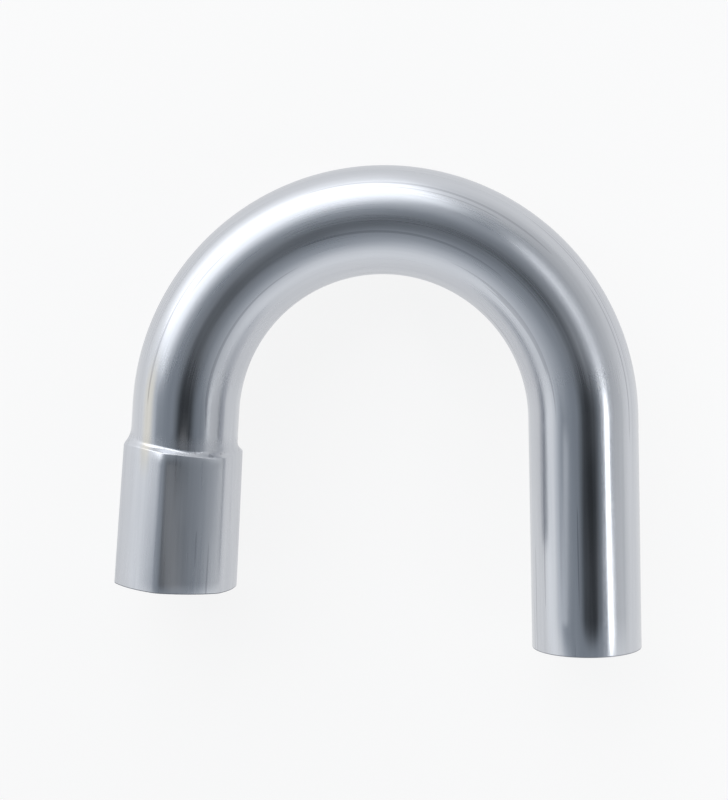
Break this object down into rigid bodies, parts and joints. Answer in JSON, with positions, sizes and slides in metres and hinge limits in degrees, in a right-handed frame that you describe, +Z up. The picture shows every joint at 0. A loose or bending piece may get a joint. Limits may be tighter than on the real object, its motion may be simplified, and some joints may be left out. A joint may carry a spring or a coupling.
{
  "type": "return bend",
  "caption": "U-shaped bent metal tube that turns a line back on itself, with a plain spigot end and an expanded socket end that takes the same tube.",
  "frame": {"origin": "on the floor, under the middle of the whole fitting's box", "axes": "the bend lies on its side on the floor: +X from the socket leg to the spigot leg, +Y from the mouths to the top of the arch, +Z up"},
  "size_m": [0.1868, 0.1708, 0.0444],
  "materials": {
    "satin_steel": "bare satin metal, drawn along the tube"
  },
  "bodies": {
    "root": {"return_bend": "satin_steel"}
  },
  "joints": []
}
